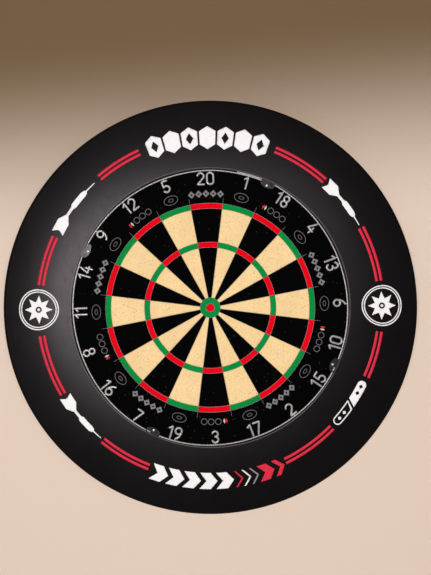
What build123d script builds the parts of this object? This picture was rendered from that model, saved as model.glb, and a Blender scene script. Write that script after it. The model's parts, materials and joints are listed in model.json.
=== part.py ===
from build123d import *
from math import cos, radians, sin, sqrt
import os

# Bristle dart board with a wire number ring, a moulded surround and its wall bracket.
#
# Millimetres. X runs to the player's right, +Y runs into the wall and +Z is up. The origin is on
# the wall, on the board's axis, and is the middle of the wall bracket's four screw holes.
# Angles called "clock" run clockwise from the top, as the player sees the board.

# Driving dimensions ----------------------------------------------------------------------------

# board
board_radius = 225.5
board_depth = 38.0
board_gap = 13.0  # wall to the board's back
backing_depth = 9.0
band_thickness = 0.8
band_joint_gap = 0.6
core_radius = 224.5
dyed_depth = 1.2  # depth of the coloured fibre at the face

# playing area
segments = 20
blade_thickness = 0.8
blade_depth = 8.0  # how far the blades are pressed in
blade_proud = 0.8  # how far they stand out of the face
double_outer = 170.0  # outer edge of the outermost strip
treble_outer = 107.0
ring_bed = 8.0  # inside width of the double and the treble
outer_bull = 15.9
inner_bull = 6.35
tick_end = 179.0  # the radial blades run past the doubles to here

# number ring
ring_radius = 222.0
wire_radius = 1.1
wire_clearance = 0.4  # wire to the board's face
digit_half_width = 5.15
digit_half_height = 9.15
digit_one_half_width = 2.6
digit_gap = 5.1  # between the centre lines of neighbouring digits
stroke_radius = 1.65
digit_thickness = 2.4
digit_setback = 2.3  # ring wire's centre to the digit's outer edge
stub_width = 2.0

# ring clips, at the blade between two numbers
clip_first = 27.0
clip_count = 4
clip_pin_setback = 5.2  # ring wire's centre to the pin's centre
clip_width = 23.0
clip_outward = 7.8
clip_inward = 3.8
clip_plate = 2.2
clip_boss_radius = 3.2
clip_window = (7.0, 2.4)
pin_radius = 1.2
pin_head_radius = 1.9
pin_head_height = 0.9
pin_depth = 14.0
pin_fit = 0.06

# surround
surround_bore = 226.0
surround_radius = 342.5
surround_back = -18.0
surround_lip = 1.6
surround_lip_front = -48.6
surround_crown_radius = 262.0
surround_crown_front = -49.4
surround_rim_front = -43.0
surround_edge_radius = 9.0

# wall bracket
plate = 2.0
bracket_width = 110.0
bracket_height = 76.0
bracket_corner = 8.0
hole_radius = 2.6
hole_spacing_x = 86.0
hole_spacing_z = 50.0
tongue_width = 46.0
tongue_top = 30.0
tongue_bottom = -24.0
tongue_back = -8.0
slot_half_width = 5.3
slot_mouth_half_width = 12.0
slot_mouth_depth = 9.0

# hanging bush and the screw through it
bush_neck_radius = 5.0
bush_flange_radius = 12.0
bush_front = -12.8
bush_back = -5.2
bush_side_gap = 0.3
centre_screw_radius = 2.5
centre_screw_fit = 0.06
centre_screw_tip = -34.0
centre_head_radius = 6.0

# levellers
leveller_count = 3
leveller_circle = 150.0
leveller_first = 60.0
housing_radius = 33.0
housing_base = 2.1
housing_wall_out = 26.0
housing_wall_in = 23.0
housing_front = -5.6
lug_depth = 0.7
thumb_gap = 14.0
wheel_radius = 21.8
wheel_back = -10.6
wheel_front = -6.6
hub_radius = 7.0
foot_stem_radius = 4.0
foot_pad_radius = 9.0
foot_pad = 3.0
foot_stem_end = -16.0
foot_pocket_end = -20.5
turning_fit = 0.08
small_screw_radius = 1.5
small_head_radius = 2.8
small_head_height = 1.5
small_screw_tip = -19.0
small_screw_circle = 29.5

# Values worked out from them -------------------------------------------------------------------

segment = 360 / segments
back_y = -board_gap
face_y = back_y - board_depth
backing_front = back_y - backing_depth
core_front = face_y + dyed_depth
blade_start = outer_bull + blade_thickness + 0.05
blade_back = face_y + blade_depth
blade_front = face_y - blade_proud
wire_y = face_y - wire_clearance - wire_radius
double_inner = double_outer - 2 * blade_thickness - ring_bed
treble_inner = treble_outer - 2 * blade_thickness - ring_bed
number_order = [20, 1, 18, 4, 13, 6, 10, 15, 2, 17, 3, 19, 7, 16, 8, 11, 14, 9, 12, 5]
clip_angles = [clip_first + i * 360 / clip_count for i in range(clip_count)]
leveller_angles = [leveller_first + i * 360 / leveller_count for i in range(leveller_count)]
clip_pin_radius = ring_radius - clip_pin_setback
clip_back = wire_y - wire_radius - 0.3
clip_front = clip_back - clip_plate


# Helpers ---------------------------------------------------------------------------------------


def front(y):
    """Plane that faces the player at depth y: its x runs right and its y runs up."""
    return Plane(origin=(0, y, 0), x_dir=(1, 0, 0), z_dir=(0, -1, 0))


def clock(radius, degrees):
    """Point at a clock angle on a circle about the board's axis, in a front plane."""
    return (radius * sin(radians(degrees)), radius * cos(radians(degrees)))


def clock_plane(radius, degrees, y, outward=True):
    """Front plane centred at a clock angle, its y pointing away from the axis, or towards it."""
    x, z = clock(radius, degrees)
    sign = 1 if outward else -1
    right = (sign * cos(radians(degrees)), 0, -sign * sin(radians(degrees)))
    return Plane(origin=(x, y, z), x_dir=right, z_dir=(0, -1, 0))


def save(part, name):
    """Label a finished piece and write its STEP file."""
    part.label = name
    export_step(part, f"parts/{name}.step")


def bed_face(inner, outer, middle):
    """One bed between two rings and two radial blades, added to the sketch in progress."""
    half = blade_thickness / 2

    def corner(radius, side):
        along = sqrt(radius**2 - half**2)
        angle = radians(middle + side * segment / 2)
        x = along * sin(angle) - side * half * cos(angle)
        z = along * cos(angle) + side * half * sin(angle)
        return (x, z)

    with BuildLine() as outline:
        ThreePointArc(corner(outer, -1), clock(outer, middle), corner(outer, 1))
        Line(corner(outer, 1), corner(inner, 1))
        ThreePointArc(corner(inner, 1), clock(inner, middle), corner(inner, -1))
        Line(corner(inner, -1), corner(outer, -1))
    make_face(outline.edges())


def beds(rings, first):
    """Every second bed of the given rings, starting with segment number first."""
    for inner, outer in rings:
        for index in range(first, segments, 2):
            bed_face(inner, outer, index * segment)


def radial_faces(start, mode=Mode.ADD):
    """The radial blades seen from the front, from a radius near the bull to the ticks' ends."""
    length = tick_end - start
    with PolarLocations(start + length / 2, segments, start_angle=90 - segment / 2):
        Rectangle(length, blade_thickness, mode=mode)


def ring_face(outer):
    """One ring strip seen from the front."""
    Circle(outer)
    Circle(outer - blade_thickness, mode=Mode.SUBTRACT)


def ring_strip(outer, crossed=True):
    """One ring strip, standing on edge; the radial blades cut it where they cross it."""
    with BuildPart() as strip:
        with BuildSketch(front(blade_back)):
            ring_face(outer)
            if crossed:
                radial_faces(blade_start, Mode.SUBTRACT)
        extrude(amount=blade_back - blade_front)
    return strip.part


os.makedirs("parts", exist_ok=True)

# Wall bracket: pressed steel plate with a raised tongue and an open-topped slot -------------------

tongue_front = tongue_back - plate
tongue_height = tongue_top - tongue_bottom
tongue_middle = (tongue_top + tongue_bottom) / 2

with BuildPart() as wall_bracket:
    with BuildSketch(front(0)):
        RectangleRounded(bracket_width, bracket_height, bracket_corner)
        with GridLocations(hole_spacing_x, hole_spacing_z, 2, 2):
            Circle(hole_radius, mode=Mode.SUBTRACT)
    extrude(amount=plate)
    with BuildSketch(front(-plate)):
        with Locations((0, tongue_middle)):
            Rectangle(tongue_width, tongue_height)
        with Locations((0, tongue_middle + plate)):
            Rectangle(tongue_width - 2 * plate, tongue_height, mode=Mode.SUBTRACT)
    extrude(amount=-plate - tongue_back)
    with BuildSketch(front(tongue_back)):
        with Locations((0, tongue_middle)):
            Rectangle(tongue_width, tongue_height)
        Circle(slot_half_width, mode=Mode.SUBTRACT)
        with BuildLine():
            Polyline(
                (-slot_half_width, 0),
                (-slot_half_width, tongue_top - slot_mouth_depth),
                (-slot_mouth_half_width, tongue_top),
                (slot_mouth_half_width, tongue_top),
                (slot_half_width, tongue_top - slot_mouth_depth),
                (slot_half_width, 0),
                close=True,
            )
        make_face(mode=Mode.SUBTRACT)
    extrude(amount=plate)
save(wall_bracket.part, "wall_bracket")

# Hanging bush: a grooved wheel that drops into the slot ------------------------------------------

with BuildPart() as hanging_bush:
    with BuildSketch(Plane.XY):
        with BuildLine():
            Polyline(
                (centre_screw_radius + centre_screw_fit, bush_front),
                (bush_flange_radius, bush_front),
                (bush_flange_radius, tongue_front - bush_side_gap),
                (bush_neck_radius, tongue_front - bush_side_gap),
                (bush_neck_radius, tongue_back + bush_side_gap),
                (bush_flange_radius, tongue_back + bush_side_gap),
                (bush_flange_radius, bush_back),
                (centre_screw_radius + centre_screw_fit, bush_back),
                close=True,
            )
        make_face()
    revolve(axis=Axis.Y)
save(hanging_bush.part, "hanging_bush")

# Centre screw: holds the bush to the board, which turns on it -----------------------------------

head_front = bush_back + 0.1
head_back = head_front + 2.6

with BuildPart() as centre_screw:
    with BuildSketch(front(head_back)):
        Circle(centre_head_radius)
    extrude(amount=head_back - head_front)
    chamfer(centre_screw.edges().group_by(Axis.Y)[-1], 0.8)
    with BuildSketch(front(head_front)):
        Circle(centre_screw_radius)
    extrude(amount=head_front - centre_screw_tip)
    with BuildSketch(front(head_back)):
        Rectangle(7.0, 1.2)
        Rectangle(1.2, 7.0)
    extrude(amount=1.2, mode=Mode.SUBTRACT)
save(centre_screw.part, "centre_screw")

# Backing board: particle board disc with its pilot holes and the levellers' pockets --------------

with BuildPart() as backing_board:
    with BuildSketch(front(back_y)):
        Circle(core_radius)
        Circle(centre_screw_radius, mode=Mode.SUBTRACT)
    extrude(amount=backing_depth)
    for angle in leveller_angles:
        with BuildSketch(clock_plane(leveller_circle, angle, back_y)):
            Circle(hub_radius + 1.0)
        extrude(amount=back_y - foot_pocket_end, mode=Mode.SUBTRACT)
        with BuildSketch(clock_plane(leveller_circle, angle, back_y)):
            with PolarLocations(small_screw_circle, 3, start_angle=90):
                Circle(small_screw_radius)
        extrude(amount=back_y - small_screw_tip, mode=Mode.SUBTRACT)
save(backing_board.part, "backing_board")

# Sisal core: end-grain fibre, slit for the blades and drilled for the clips' pins ----------------

ring_outers = [double_outer, double_inner + blade_thickness, treble_outer, treble_inner + blade_thickness]
bull_outers = [outer_bull + blade_thickness, inner_bull + blade_thickness]


def pin_faces():
    """The clips' four pin holes, added to the sketch in progress."""
    for angle in clip_angles:
        with Locations(clock(clip_pin_radius, angle)):
            Circle(pin_radius)


with BuildPart() as sisal_core:
    with BuildSketch(front(backing_front)):
        Circle(core_radius)
    extrude(amount=backing_front - core_front)
    with BuildSketch(front(blade_back)):
        for outer in ring_outers + bull_outers:
            ring_face(outer)
        radial_faces(outer_bull + blade_thickness / 2)
    extrude(amount=blade_back - core_front, mode=Mode.SUBTRACT)
    with BuildSketch(front(core_front)):
        pin_faces()
    extrude(amount=dyed_depth - pin_depth, mode=Mode.SUBTRACT)
    with BuildSketch(front(backing_front)):
        Circle(centre_screw_radius)
    extrude(amount=backing_front - centre_screw_tip, mode=Mode.SUBTRACT)
save(sisal_core.part, "sisal_core")

# Dyed face: the beds between the blades, and the black field under the numbers --------------------

double_bed = (double_inner + blade_thickness, double_outer - blade_thickness)
treble_bed = (treble_inner + blade_thickness, treble_outer - blade_thickness)
outer_single = (treble_outer, double_inner)
inner_single = (outer_bull + blade_thickness, treble_inner)

with BuildPart() as beds_black:
    with BuildSketch(front(core_front)):
        beds([outer_single, inner_single], 0)
    extrude(amount=dyed_depth)
save(beds_black.part, "beds_black")

with BuildPart() as beds_natural:
    with BuildSketch(front(core_front)):
        beds([outer_single, inner_single], 1)
    extrude(amount=dyed_depth)
save(beds_natural.part, "beds_natural")

with BuildPart() as beds_red:
    with BuildSketch(front(core_front)):
        beds([double_bed, treble_bed], 0)
        Circle(inner_bull)
    extrude(amount=dyed_depth)
save(beds_red.part, "beds_red")

with BuildPart() as beds_green:
    with BuildSketch(front(core_front)):
        beds([double_bed, treble_bed], 1)
        with BuildSketch(mode=Mode.PRIVATE) as bull_ring:
            Circle(outer_bull)
            Circle(inner_bull + blade_thickness, mode=Mode.SUBTRACT)
        add(bull_ring.sketch)
    extrude(amount=dyed_depth)
save(beds_green.part, "beds_green")

with BuildPart() as number_field:
    with BuildSketch(front(core_front)):
        Circle(core_radius)
        Circle(double_outer, mode=Mode.SUBTRACT)
        radial_faces(blade_start, Mode.SUBTRACT)
    extrude(amount=dyed_depth)
    with BuildSketch(front(core_front)):
        pin_faces()
    extrude(amount=dyed_depth, mode=Mode.SUBTRACT)
save(number_field.part, "number_field")

# Blades: twenty radial ones and six ring strips, pressed into the face -----------------------------

with BuildPart() as radial_blades:
    with BuildSketch(front(blade_back)):
        radial_faces(blade_start)
    extrude(amount=blade_back - blade_front)
save(radial_blades.part, "radial_blades")

strip_names = ["double_outer_strip", "double_inner_strip", "treble_outer_strip", "treble_inner_strip"]
for name, outer in zip(strip_names, ring_outers):
    save(ring_strip(outer), name)
for name, outer in zip(["outer_bull_strip", "inner_bull_strip"], bull_outers):
    save(ring_strip(outer, crossed=False), name)

# Steel band round the core, with its joint at the bottom -------------------------------------------

with BuildPart() as steel_band:
    with BuildSketch(front(back_y)):
        Circle(board_radius)
        Circle(board_radius - band_thickness, mode=Mode.SUBTRACT)
        with Locations((0, -board_radius)):
            Rectangle(band_joint_gap, 4 * band_thickness, mode=Mode.SUBTRACT)
    extrude(amount=board_depth)
save(steel_band.part, "steel_band")

# Levellers: a thumbwheel in a housing drives a threaded foot against the wall -----------------------

for index, angle in enumerate(leveller_angles, start=1):
    with BuildPart() as housing:
        with BuildSketch(clock_plane(leveller_circle, angle, back_y)):
            Circle(housing_radius)
            Circle(hub_radius + turning_fit, mode=Mode.SUBTRACT)
            with PolarLocations(small_screw_circle, 3, start_angle=90):
                Circle(small_screw_radius, mode=Mode.SUBTRACT)
        extrude(amount=-housing_base)
        with BuildSketch(clock_plane(leveller_circle, angle, back_y + housing_base)):
            Circle(housing_wall_out)
            Circle(housing_wall_in, mode=Mode.SUBTRACT)
            with PolarLocations(housing_wall_out, 3, start_angle=30):
                Rectangle(12.0, thumb_gap, mode=Mode.SUBTRACT)
        extrude(amount=back_y + housing_base - housing_front)
        with BuildSketch(clock_plane(leveller_circle, angle, housing_front - lug_depth)):
            with PolarLocations(housing_wall_in - 1.0, 3, start_angle=90):
                Rectangle(3.4, 8.0)
        extrude(amount=-lug_depth)
    save(housing.part, f"leveller_housing_{index}")

    with BuildPart() as wheel:
        with BuildSketch(clock_plane(leveller_circle, angle, wheel_back)):
            Circle(wheel_radius)
            with PolarLocations(wheel_radius + 1.2, 18):
                Circle(2.2, mode=Mode.SUBTRACT)
        extrude(amount=wheel_back - wheel_front)
        with BuildSketch(clock_plane(leveller_circle, angle, wheel_back)):
            Circle(hub_radius)
        extrude(amount=wheel_back - back_y - 0.2)
        with BuildSketch(clock_plane(leveller_circle, angle, wheel_front)):
            Circle(foot_stem_radius + turning_fit)
        extrude(amount=wheel_front - back_y, mode=Mode.SUBTRACT)
    save(wheel.part, f"leveller_wheel_{index}")

    with BuildPart() as foot:
        with BuildSketch(clock_plane(leveller_circle, angle, 0)):
            Circle(foot_pad_radius)
        extrude(amount=foot_pad)
        chamfer(foot.edges().group_by(Axis.Y)[-1], 0.8)
        with BuildSketch(clock_plane(leveller_circle, angle, -foot_pad)):
            Circle(foot_stem_radius)
        extrude(amount=-foot_pad - foot_stem_end)
    save(foot.part, f"leveller_foot_{index}")

with BuildPart() as leveller_screws:
    for angle in leveller_angles:
        with BuildSketch(clock_plane(leveller_circle, angle, back_y + housing_base)):
            with PolarLocations(small_screw_circle, 3, start_angle=90):
                Circle(small_head_radius)
        extrude(amount=-small_head_height)
        with BuildSketch(clock_plane(leveller_circle, angle, back_y + housing_base)):
            with PolarLocations(small_screw_circle, 3, start_angle=90):
                Circle(small_screw_radius)
        extrude(amount=back_y + housing_base - small_screw_tip)
save(leveller_screws.part, "leveller_screws")

# Number ring: a wire hoop with twenty wire numbers, kept clear of the face --------------------------

with BuildPart() as number_ring_wire:
    with BuildSketch(Plane.XY):
        with Locations((ring_radius, wire_y)):
            Circle(wire_radius)
    revolve(axis=Axis.Y)
save(number_ring_wire.part, "number_ring_wire")


def digit_strokes(digit):
    """Draw one digit's centre lines about the middle of its box, in the line in progress."""
    a = digit_half_width
    b = digit_half_height
    if digit == 0:
        FilletPolyline((-a, -b), (a, -b), (a, b), (-a, b), radius=4.6, close=True)
    elif digit == 1:
        stem = digit_one_half_width - 0.6
        Polyline((-digit_one_half_width, b - 3.6), (stem, b), (stem, -b))
    elif digit == 2:
        bowl = CenterArc((0, b - a), a, 165, -200)
        Polyline(bowl @ 1, (-a, -b), (a, -b))
    elif digit == 3:
        upper = 4.5
        lower = b - upper
        CenterArc((0, b - upper), upper, 160, -250)
        CenterArc((0, -b + lower), lower, 90, -250)
    elif digit == 4:
        Polyline((0.15 * a, b), (-a, -3.7), (a, -3.7))
        Line((0.45 * a, 1.4), (0.45 * a, -b))
    elif digit == 5:
        bowl = CenterArc((0, a - b), a, 140, -290)
        Polyline((0.8 * a, b), (-0.77 * a, b), bowl @ 0)
    elif digit == 6:
        CenterArc((0, a - b), a, 0, 360)
        ThreePointArc((-a, a - b), (-3.2, 4.0), (1.8, b))
    elif digit == 7:
        Polyline((-a, b), (a, b), (-0.35 * a, -b))
    elif digit == 8:
        upper = 4.4
        lower = b - upper
        CenterArc((0, b - upper), upper, -60, 300)
        CenterArc((0, lower - b), lower, 0, 360)
    else:
        CenterArc((0, b - a), a, 0, 360)
        ThreePointArc((a, b - a), (3.2, -4.0), (-1.8, -b))


# where a digit's stroke comes nearest to the hoop, from the middle of its box
top_touch = {1: 2.0, 4: 0.8, 6: 1.8}
foot_touch = {1: 2.0, 7: -1.9, 9: -1.8}


def digit_offsets(value):
    """Each digit of a number with the x of its box's middle, the pair centred on the number."""
    digits = [int(character) for character in str(value)]
    halves = [digit_one_half_width if digit == 1 else digit_half_width for digit in digits]
    total = 2 * sum(halves) + digit_gap * (len(digits) - 1)
    x = -total / 2
    placed = []
    for digit, half in zip(digits, halves):
        placed.append((digit, x + half))
        x += 2 * half + digit_gap
    return placed


for index, value in enumerate(number_order):
    angle = index * segment
    top_outward = angle <= 90 or angle >= 270
    middle_radius = ring_radius - digit_setback - stroke_radius - digit_half_height
    hoop_inner = ring_radius - wire_radius - 0.02
    sign = 1 if top_outward else -1
    number_plane = clock_plane(middle_radius, angle, wire_y + digit_thickness / 2, top_outward)
    with BuildPart() as number:
        for digit, x in digit_offsets(value):
            touch = (top_touch if top_outward else foot_touch).get(digit, 0)
            digit_plane = number_plane.shift_origin(number_plane.from_local_coords((x, 0, 0)))
            with BuildSketch(digit_plane):
                with BuildLine() as strokes:
                    digit_strokes(digit)
                for edge in strokes.edges():
                    trace(edge, 2 * stroke_radius)
                with Locations(*[(v.X, v.Y) for v in strokes.vertices()]):
                    Circle(stroke_radius)
                reach = sqrt(hoop_inner**2 - (x + touch) ** 2) - middle_radius
                with Locations((touch, sign * (digit_half_height + reach) / 2)):
                    Rectangle(stub_width, reach - digit_half_height)
            extrude(amount=digit_thickness)
    save(number.part, f"number_{value}")

# Ring clips: turn buttons over the hoop, each on a pin driven into the board ------------------------

with BuildPart() as clip_pins:
    for angle in clip_angles:
        with BuildSketch(clock_plane(clip_pin_radius, angle, clip_front - 0.1)):
            Circle(pin_head_radius)
        extrude(amount=pin_head_height)
        with BuildSketch(clock_plane(clip_pin_radius, angle, clip_front - 0.1)):
            Circle(pin_radius)
        extrude(amount=clip_front - 0.1 - face_y - pin_depth)
save(clip_pins.part, "clip_pins")

for index, angle in enumerate(clip_angles, start=1):
    with BuildPart() as clip:
        with BuildSketch(clock_plane(clip_pin_radius, angle, clip_back)):
            with BuildLine():
                Polyline(
                    (-clip_width / 2, 0),
                    (-clip_width / 2, clip_outward),
                    (clip_width / 2, clip_outward),
                    (clip_width / 2, 0),
                )
                ThreePointArc((clip_width / 2, 0), (0, -clip_inward), (-clip_width / 2, 0))
            make_face()
            with Locations((clip_width / 4 + 1.0, clip_pin_setback)):
                Rectangle(*clip_window, mode=Mode.SUBTRACT)
        extrude(amount=clip_plate)
        fillet(clip.edges().filter_by(Axis.Y), 1.0)
        with BuildSketch(clock_plane(clip_pin_radius, angle, clip_back)):
            Circle(clip_boss_radius)
        extrude(amount=clip_back - face_y + 0.1)
        with BuildSketch(clock_plane(clip_pin_radius, angle, face_y)):
            Circle(pin_radius + pin_fit)
        extrude(amount=face_y - clip_front, mode=Mode.SUBTRACT)
    save(clip.part, f"ring_clip_{index}")

# Surround: one soft moulding, gently crowned, that grips the band ------------------------------------

with BuildPart() as surround:
    with BuildSketch(Plane.XY):
        with BuildLine():
            Line((surround_bore, surround_back), (surround_bore, surround_lip_front + surround_lip))
            RadiusArc(
                (surround_bore, surround_lip_front + surround_lip),
                (surround_bore + surround_lip, surround_lip_front),
                -surround_lip,
            )
            Spline(
                (surround_bore + surround_lip, surround_lip_front),
                (surround_crown_radius, surround_crown_front),
                (surround_radius - surround_edge_radius, surround_rim_front),
            )
            RadiusArc(
                (surround_radius - surround_edge_radius, surround_rim_front),
                (surround_radius, surround_rim_front + surround_edge_radius),
                -surround_edge_radius,
            )
            Line(
                (surround_radius, surround_rim_front + surround_edge_radius),
                (surround_radius, surround_back),
            )
            Line((surround_radius, surround_back), (surround_bore, surround_back))
        make_face()
    revolve(axis=Axis.Y)
save(surround.part, "surround")
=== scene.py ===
import json
import math

import bmesh
import bpy
from mathutils import Matrix, Vector


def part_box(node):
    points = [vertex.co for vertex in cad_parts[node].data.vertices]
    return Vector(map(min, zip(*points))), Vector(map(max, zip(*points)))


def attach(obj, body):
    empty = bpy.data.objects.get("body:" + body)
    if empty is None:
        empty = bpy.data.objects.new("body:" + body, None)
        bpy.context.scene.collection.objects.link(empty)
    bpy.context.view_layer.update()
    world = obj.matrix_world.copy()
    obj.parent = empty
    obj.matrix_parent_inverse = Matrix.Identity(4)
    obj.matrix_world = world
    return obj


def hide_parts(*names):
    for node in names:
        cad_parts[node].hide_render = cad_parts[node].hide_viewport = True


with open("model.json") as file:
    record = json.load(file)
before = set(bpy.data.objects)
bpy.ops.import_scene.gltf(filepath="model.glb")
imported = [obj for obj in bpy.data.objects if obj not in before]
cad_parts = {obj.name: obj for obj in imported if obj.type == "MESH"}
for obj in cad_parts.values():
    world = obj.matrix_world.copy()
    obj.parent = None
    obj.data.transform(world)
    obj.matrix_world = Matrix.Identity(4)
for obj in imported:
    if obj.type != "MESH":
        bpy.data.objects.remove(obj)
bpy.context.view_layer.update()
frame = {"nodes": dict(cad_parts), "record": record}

# Places and sizes, in metres, taken from the frame ------------------------------------------------

MM = 0.001
face_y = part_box("number_field")[0].y
wire_low, wire_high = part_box("number_ring_wire")
wire_y = (wire_low.y + wire_high.y) / 2
wire_radius = (wire_high.y - wire_low.y) / 2
ring_radius = wire_high.x - wire_radius
surround_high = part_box("surround")[1]
surround_radius = surround_high.x
surround_back = surround_high.y
surround_bore = 226.0 * MM
clip_angles = [27.0, 117.0, 207.0, 297.0]
number_order = [20, 1, 18, 4, 13, 6, 10, 15, 2, 17, 3, 19, 7, 16, 8, 11, 14, 9, 12, 5]
segment = 360 / len(number_order)

# The print on the surround sits a little clockwise of the board's own upright.
print_turn = 1.5


def clock(radius, degrees):
    """Point in the board's plane at a clock angle, clockwise from the top: (x, z)."""
    return radius * math.sin(math.radians(degrees)), radius * math.cos(math.radians(degrees))


# Materials ----------------------------------------------------------------------------------------


class Shader:
    """One material and the few kinds of node that these materials are made of."""

    def __init__(self, name, color, roughness, metallic=0.0, sockets=()):
        self.material = bpy.data.materials.new(name)
        self.material.use_nodes = True
        self.tree = self.material.node_tree
        self.surface = self.tree.nodes["Principled BSDF"]
        self.surface.inputs["Base Color"].default_value = (*color, 1.0)
        self.surface.inputs["Roughness"].default_value = roughness
        self.surface.inputs["Metallic"].default_value = metallic
        for socket, value in sockets:
            self.surface.inputs[socket].default_value = value
        self.coords = self.node("ShaderNodeTexCoord").outputs["Object"]

    def node(self, kind, **settings):
        made = self.tree.nodes.new(kind)
        for name, value in settings.items():
            setattr(made, name, value)
        return made

    def feed(self, socket, value):
        """Link a socket to another node's output, or set it to a plain value."""
        if isinstance(value, bpy.types.NodeSocket):
            self.tree.links.new(value, socket)
        else:
            socket.default_value = value

    def calc(self, operation, first, second=0.0, third=0.0):
        made = self.node("ShaderNodeMath", operation=operation)
        for socket, value in zip(made.inputs, (first, second, third)):
            self.feed(socket, value)
        return made.outputs[0]

    def noise(self, scale, detail=2.0, roughness=0.5, coords=None):
        made = self.node("ShaderNodeTexNoise")
        self.feed(made.inputs["Vector"], coords or self.coords)
        made.inputs["Scale"].default_value = scale
        made.inputs["Detail"].default_value = detail
        made.inputs["Roughness"].default_value = roughness
        return made.outputs["Fac"]

    def cells(self, scale, coords=None, feature="F1"):
        made = self.node("ShaderNodeTexVoronoi", feature=feature)
        self.feed(made.inputs["Vector"], coords or self.coords)
        made.inputs["Scale"].default_value = scale
        return made.outputs

    def stretch(self, x, y, z):
        made = self.node("ShaderNodeMapping")
        self.feed(made.inputs["Vector"], self.coords)
        made.inputs["Scale"].default_value = (x, y, z)
        return made.outputs[0]

    def fade(self, value, low, high, to_low=0.0, to_high=1.0):
        """Map a value from low..high to to_low..to_high, with smooth ends."""
        made = self.node("ShaderNodeMapRange", interpolation_type="SMOOTHSTEP")
        self.feed(made.inputs["Value"], value)
        limits = {"From Min": low, "From Max": high, "To Min": to_low, "To Max": to_high}
        for name, limit in limits.items():
            made.inputs[name].default_value = limit
        return made.outputs[0]

    def mix(self, amount, first, second, blend="MIX"):
        made = self.node("ShaderNodeMix", data_type="RGBA", blend_type=blend)
        self.feed(made.inputs[0], amount)
        for socket, value in ((made.inputs[6], first), (made.inputs[7], second)):
            self.feed(socket, value if isinstance(value, bpy.types.NodeSocket) else (*value, 1.0))
        return made.outputs[2]

    def bump(self, height, strength, distance, normal=None):
        made = self.node("ShaderNodeBump")
        self.feed(made.inputs["Height"], height)
        made.inputs["Strength"].default_value = strength
        made.inputs["Distance"].default_value = distance
        if normal is not None:
            self.feed(made.inputs["Normal"], normal)
        self.feed(self.surface.inputs["Normal"], made.outputs[0])
        return made.outputs[0]

    def tint(self, value):
        """A grey colour with the given brightness."""
        made = self.node("ShaderNodeCombineColor")
        for socket in made.inputs:
            self.feed(socket, value)
        return made.outputs[0]

    def color(self, value):
        self.feed(self.surface.inputs["Base Color"], value)

    def rough(self, value):
        self.feed(self.surface.inputs["Roughness"], value)


def scaled(color, factor):
    return tuple(channel * factor for channel in color)


RINGS = [170.0, 161.2, 107.0, 98.2, 16.7, 7.15]  # outer edges of the ring strips, mm
OUTER_BULL = RINGS[4] * MM
TICK_END = 179.0 * MM  # the radial blades run on past the doubles to here
BLADE = 0.8 * MM


def blade_distance(shader):
    """Distance from the nearest blade or ring strip, worked out from the board's geometry."""
    split = shader.node("ShaderNodeSeparateXYZ")
    shader.feed(split.inputs[0], shader.coords)
    x, z = split.outputs[0], split.outputs[2]
    across_squared = shader.calc("MULTIPLY", x, x)
    up_squared = shader.calc("MULTIPLY", z, z)
    radius = shader.calc("SQRT", shader.calc("ADD", across_squared, up_squared))
    angle = shader.calc("ARCTAN2", x, z)
    turns = shader.calc("ADD", shader.calc("MULTIPLY", angle, len(number_order) / math.tau), 20.5)
    part = shader.calc("FRACT", turns)
    nearest = shader.calc("MINIMUM", part, shader.calc("SUBTRACT", 1.0, part))
    nearest_angle = shader.calc("MULTIPLY", nearest, math.tau / len(number_order))
    along_ring = shader.calc("MULTIPLY", nearest_angle, radius)
    radial = shader.calc("SUBTRACT", along_ring, BLADE / 2)
    inside_bull = shader.calc("LESS_THAN", radius, OUTER_BULL)
    beyond_ticks = shader.calc("GREATER_THAN", radius, TICK_END)
    away = shader.calc("ADD", radial, shader.calc("ADD", inside_bull, beyond_ticks))
    for outer in RINGS:
        middle = outer * MM - BLADE / 2
        off_middle = shader.calc("ABSOLUTE", shader.calc("SUBTRACT", radius, middle))
        gap = shader.calc("SUBTRACT", off_middle, BLADE / 2)
        away = shader.calc("MINIMUM", away, gap)
    return away


def sisal(name, color, speck, specks):
    """Dyed end-grain sisal: packed fibre ends, cloudy dye, stray specks, and a groove at each blade with
    painted shade beside it.
    """
    shader = Shader(name, color, 0.95, sockets=[("Specular IOR Level", 0.06)])
    flat = shader.stretch(1.0, 0.15, 1.0)
    fibres = shader.cells(1250.0, flat)
    clumps = shader.noise(420.0, 3.0, 0.65, flat)
    clouds = shader.noise(26.0, 3.0, 0.6)
    tone = shader.mix(shader.fade(clouds, 0.3, 0.7), scaled(color, 0.93), scaled(color, 1.05))
    tone = shader.mix(shader.fade(clumps, 0.35, 0.7), tone, scaled(color, 0.87))
    ends = shader.fade(fibres["Distance"], 0.15, 0.75, 1.04, 0.86)
    tone = shader.mix(1.0, tone, shader.tint(ends), "MULTIPLY")
    spots = shader.cells(300.0, flat)
    chosen = shader.node("ShaderNodeSeparateColor")
    shader.feed(chosen.inputs[0], spots["Color"])
    picked = shader.calc("GREATER_THAN", chosen.outputs[0], 1.0 - specks)
    size = shader.calc("MULTIPLY", chosen.outputs[1], 0.20)
    dot = shader.calc("LESS_THAN", spots["Distance"], shader.calc("ADD", size, 0.12))
    tone = shader.mix(shader.calc("MULTIPLY", shader.calc("MULTIPLY", picked, dot), 0.75), tone, speck)
    away = blade_distance(shader)
    # Painted shade: beside each blade and ring strip the sisal is darkened, as if the groove there lay in
    # shadow.
    painted_groove_shade = shader.fade(away, -0.2 * MM, 0.7 * MM, 0.8, 1.0)
    tone = shader.mix(1.0, tone, shader.tint(painted_groove_shade), "MULTIPLY")
    shader.color(tone)
    edge = shader.bump(shader.fade(away, -0.2 * MM, 0.9 * MM), 0.7, 0.4 * MM)
    height = shader.calc("ADD", shader.calc("MULTIPLY", fibres["Distance"], -1.0), clumps)
    shader.bump(height, 0.55, 0.35 * MM, edge)
    return shader.material


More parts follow.
